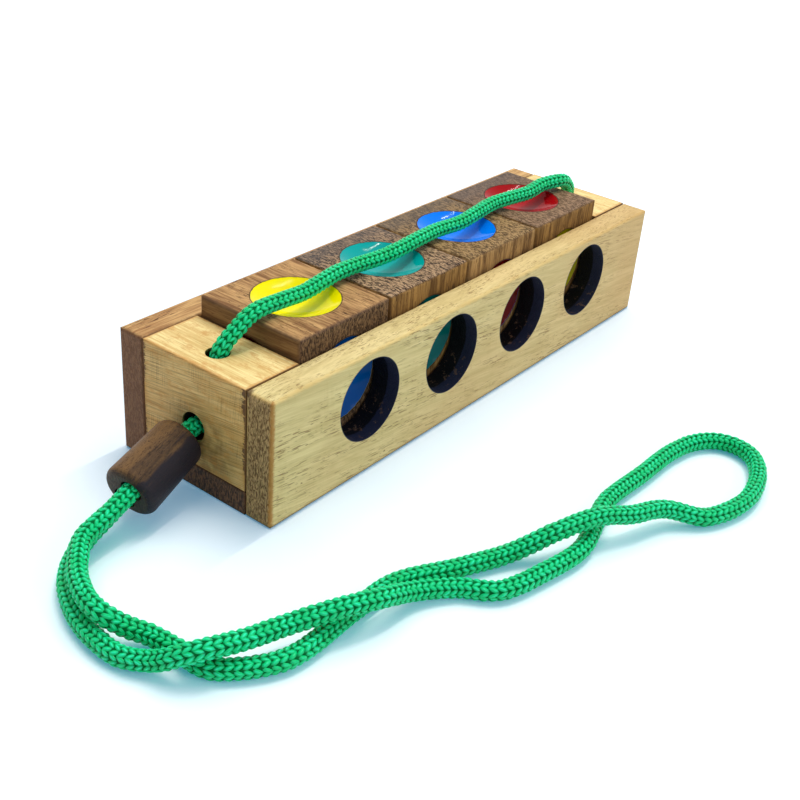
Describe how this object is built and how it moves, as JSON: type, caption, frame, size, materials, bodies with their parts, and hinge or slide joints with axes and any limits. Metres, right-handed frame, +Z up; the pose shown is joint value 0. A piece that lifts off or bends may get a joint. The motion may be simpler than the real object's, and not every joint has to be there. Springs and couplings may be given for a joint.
{
  "type": "wooden cube puzzle",
  "caption": "Open wooden frame holding a row of cubes with coloured round dimples, held in by a green cord that ends in a toggle bead and wrist loop.",
  "frame": {"origin": "middle of the frame's underside, on the table", "axes": "+X along the row of cubes, from the end with the bead to the far end; +Y from the pale front wall to the dark back wall; +Z up"},
  "size_m": [0.2162, 0.1191, 0.0405],
  "materials": {
    "pale_wood": "satin",
    "red_brown_wood": "satin",
    "dark_wood": "satin",
    "brown_cube_wood": "satin",
    "dark_cube_wood": "satin",
    "grey_brown_cube_wood": "satin",
    "green_cord": "matte",
    "bead_wood": "satin"
  },
  "bodies": {
    "frame": {"base_plate": "dark_wood", "front_wall": "pale_wood", "back_wall": "red_brown_wood", "near_end_block": "pale_wood", "far_end_block": "pale_wood", "cord_span": "green_cord", "far_knot": "green_cord", "cord_loop": "green_cord"},
    "cube_1": {"cube_1": "brown_cube_wood"},
    "cube_2": {"cube_2": "dark_cube_wood"},
    "cube_3": {"cube_3": "brown_cube_wood"},
    "cube_4": {"cube_4": "grey_brown_cube_wood"},
    "bead": {"toggle_bead": "bead_wood"}
  },
  "joints": [
    {"name": "cube_1_lift", "type": "slide", "parent": "frame", "child": "cube_1", "axis": [0, 0, 1], "range_m": [0, 0.042], "deforming": ["cord_span"]},
    {"name": "cube_2_lift", "type": "slide", "parent": "frame", "child": "cube_2", "axis": [0, 0, 1], "range_m": [0, 0.042], "deforming": ["cord_span"]},
    {"name": "cube_3_lift", "type": "slide", "parent": "frame", "child": "cube_3", "axis": [0, 0, 1], "range_m": [0, 0.042], "deforming": ["cord_span"]},
    {"name": "cube_4_lift", "type": "slide", "parent": "frame", "child": "cube_4", "axis": [0, 0, 1], "range_m": [0, 0.042], "deforming": ["cord_span"]},
    {"name": "bead_slide", "type": "slide", "parent": "frame", "child": "bead", "axis": [-0.9506, -0.1251, -0.284], "range_m": [0, 0.004]}
  ]
}
